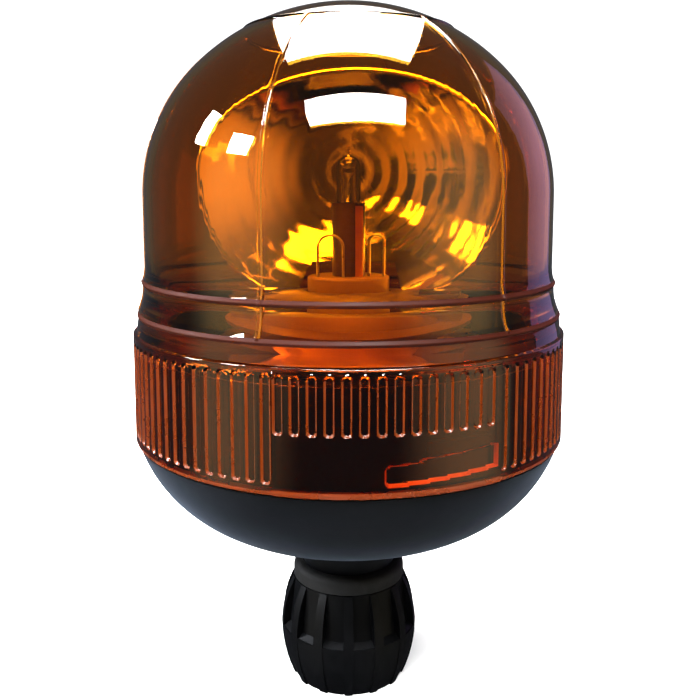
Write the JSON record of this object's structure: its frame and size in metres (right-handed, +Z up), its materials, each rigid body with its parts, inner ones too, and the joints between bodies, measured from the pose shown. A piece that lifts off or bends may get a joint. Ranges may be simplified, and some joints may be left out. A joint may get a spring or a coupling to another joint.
{
  "type": "rotating warning beacon",
  "caption": "Amber rotating warning beacon: ribbed bayonet lens over a turning parabolic reflector, black bowl base and clamp socket for a 24 mm pole.",
  "frame": {"origin": "centre of the clamp collar's lower face", "axes": "+Z up along the lamp axis, out of the pole; +Y behind the reflector at rest"},
  "size_m": [0.1416, 0.1416, 0.2261],
  "materials": {
    "lens_amber": "clear amber moulded polycarbonate",
    "black_abs": "satin moulded",
    "black_nylon": "matt moulded",
    "rubber": "matt",
    "steel": "zinc plated",
    "chrome": "vacuum metallised",
    "cream_plastic": "moulded acetal",
    "holder_plastic": "moulded phenolic",
    "dark_phenolic": "moulded phenolic",
    "brass": "rolled",
    "copper": "rolled copper strip",
    "bronze": "sintered",
    "glass": "clear quartz",
    "tungsten": "drawn wire",
    "magnet": "ferrite",
    "iron": "stamped laminations",
    "blue_film": "dipped",
    "red_pvc": "extruded",
    "black_pvc": "extruded"
  },
  "bodies": {
    "base": {"lens_gasket": "rubber", "base_bowl": "black_abs", "neck_gland": "rubber", "collar_clip": "steel", "grip_sleeve": "rubber", "pole_socket": "black_nylon", "socket_seal": "rubber", "socket_screws": "steel", "contact_carrier": "dark_phenolic", "contact_spring": "steel", "live_terminal": "brass", "earth_contact": "brass", "chassis_plate": "steel", "chassis_screws": "steel", "lamp_post": "steel", "post_nut": "steel", "thrust_washer": "steel", "rotor_clip": "steel", "lamp_holder": "holder_plastic", "lamp_stem": "dark_phenolic", "live_strip": "copper", "lamp_clips": "steel", "bulb_cap": "steel", "bulb_glass": "glass", "filament": "tungsten", "motor_can": "steel", "motor_end_cap": "black_nylon", "motor_magnets": "magnet", "motor_screws": "steel", "idler_pin": "steel", "idler_clip": "steel", "suppressor": "blue_film", "live_wire": "red_pvc", "motor_live_lead": "red_pvc", "motor_earth_lead": "black_pvc", "earth_wire": "black_pvc", "earth_tag": "brass", "earth_screw": "steel"},
    "rotor": {"turntable": "cream_plastic", "rotor_bush": "bronze", "rotor_gear": "cream_plastic", "reflector": "chrome", "reflector_screws": "steel"},
    "idler": {"idler_gear": "cream_plastic"},
    "motor_rotor": {"motor_pinion": "brass", "motor_shaft": "steel", "motor_armature": "iron"},
    "lens": {"lens_dome": "lens_amber"},
    "collar": {"clamp_collar": "black_nylon"},
    "thrust": {"thrust_ring": "black_nylon"},
    "contact": {"centre_contact": "brass"}
  },
  "joints": [
    {"name": "rotor_spin", "type": "hinge", "parent": "base", "child": "rotor", "pos_m": [0, 0, 0], "axis": [0, 0, 1], "continuous": true},
    {"name": "idler_spin", "type": "hinge", "parent": "base", "child": "idler", "pos_m": [0, 0.0288, 0], "axis": [0, 0, 1], "continuous": true},
    {"name": "motor_spin", "type": "hinge", "parent": "base", "child": "motor_rotor", "pos_m": [0.015, 0.0288, 0], "axis": [0, 0, 1], "continuous": true},
    {"name": "lens_twist", "type": "hinge", "parent": "base", "child": "lens", "pos_m": [0, 0, 0], "axis": [0, 0, 1], "range_deg": [0, 30]},
    {"name": "collar_turn", "type": "hinge", "parent": "base", "child": "collar", "pos_m": [0, 0, 0], "axis": [0, 0, -1], "range_deg": [0, 90]},
    {"name": "thrust_slide", "type": "slide", "parent": "base", "child": "thrust", "axis": [0, 0, -1], "range_m": [0, 0.0015], "deforming": ["grip_sleeve"]},
    {"name": "contact_press", "type": "slide", "parent": "base", "child": "contact", "axis": [0, 0, 1], "range_m": [0, 0.003], "stiffness_N_per_m": 400, "springref_m": -0.002, "deforming": ["contact_spring"]}
  ],
  "couplings": [
    {"joint": "idler_spin", "follows": "rotor_spin", "ratio": -5},
    {"joint": "motor_spin", "follows": "rotor_spin", "ratio": 20},
    {"joint": "collar_turn", "follows": "thrust_slide", "rad_per_m": 1047}
  ]
}
